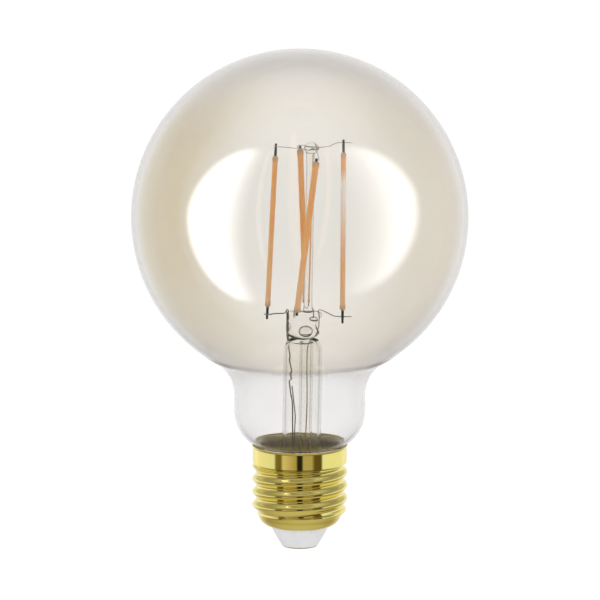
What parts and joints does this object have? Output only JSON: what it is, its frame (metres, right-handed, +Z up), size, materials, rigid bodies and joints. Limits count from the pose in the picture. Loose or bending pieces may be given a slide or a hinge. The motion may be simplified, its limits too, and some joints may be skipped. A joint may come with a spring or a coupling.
{
  "type": "smart light bulb",
  "caption": "Globe-shaped smart LED filament bulb with a tinted glass ball, clear neck, glass stem, upright filaments and a threaded brass screw cap.",
  "frame": {"origin": "tip of the centre contact, on the lamp's axis", "axes": "+Z up along the lamp's axis from the contact to the top of the ball; +X to the right and -Y towards the viewer of the side where two filaments show in the middle"},
  "size_m": [0.095, 0.095, 0.142],
  "materials": {
    "tinted_glass": "clear blown glass, thin warm semi-mirror tint on the ball, clear neck",
    "stem_glass": "clear drawn and pressed glass",
    "nickel_wire": "drawn nickel wire",
    "lead_wire": "drawn wire, dull oxide",
    "cap_brass": "bright spun brass sheet",
    "contact_brass": "stamped brass",
    "insulator_white": "white moulded insulator, soft gloss",
    "solder": "dull tin solder",
    "cement": "baked basing cement, matt",
    "strip_ceramic": "sintered white strip",
    "chip_crystal": "small bare LED crystals",
    "phosphor_coat": "silicone with orange phosphor, soft satin",
    "pin_steel": "stamped strip",
    "board_green": "glass-fibre board with solder mask",
    "sleeve_film": "thin insulating film",
    "capacitor_sleeve": "shrunk sleeve on an aluminium can",
    "resistor_body": "lacquered ceramic barrel",
    "ferrite": "sintered ferrite",
    "copper": "enamelled copper wire",
    "chip_black": "moulded epoxy",
    "tin_shield": "tinned steel can",
    "capacitor_tan": "fired ceramic chips",
    "wire_insulation": "silicone-covered wire"
  },
  "bodies": {
    "root": {"antenna_wire": "lead_wire", "basing_cement": "cement", "board_capacitors": "capacitor_tan", "board_resistors": "chip_black", "board_solder_joints": "solder", "bridge_rectifier": "chip_black", "cap_insulator": "insulator_white", "cap_shell": "cap_brass", "contact_plate": "contact_brass", "contact_solder": "solder", "driver_board": "board_green", "driver_chip": "chip_black", "driver_sleeve": "sleeve_film", "exhaust_tube": "stem_glass", "feed_wire_front": "nickel_wire", "feed_wire_rear": "nickel_wire", "filament_front_chips": "chip_crystal", "filament_front_coat": "phosphor_coat", "filament_front_end_pins": "pin_steel", "filament_front_strip": "strip_ceramic", "filament_left_chips": "chip_crystal", "filament_left_coat": "phosphor_coat", "filament_left_end_pins": "pin_steel", "filament_left_strip": "strip_ceramic", "filament_rear_chips": "chip_crystal", "filament_rear_coat": "phosphor_coat", "filament_rear_end_pins": "pin_steel", "filament_rear_strip": "strip_ceramic", "filament_right_chips": "chip_crystal", "filament_right_coat": "phosphor_coat", "filament_right_end_pins": "pin_steel", "filament_right_strip": "strip_ceramic", "fusible_resistor": "resistor_body", "glass_globe": "tinted_glass", "glass_rod": "stem_glass", "inductor_core": "ferrite", "inductor_winding": "copper", "lead_wire_left": "lead_wire", "lead_wire_right": "lead_wire", "live_wire": "wire_insulation", "neutral_wire": "wire_insulation", "radio_board": "board_green", "radio_shield": "tin_shield", "rod_bead": "stem_glass", "smoothing_capacitor": "capacitor_sleeve", "stem_flare_tube": "stem_glass", "stem_press": "stem_glass", "switching_transistor": "chip_black", "top_bridge_wire_front": "nickel_wire", "top_bridge_wire_rear": "nickel_wire"}
  },
  "joints": []
}
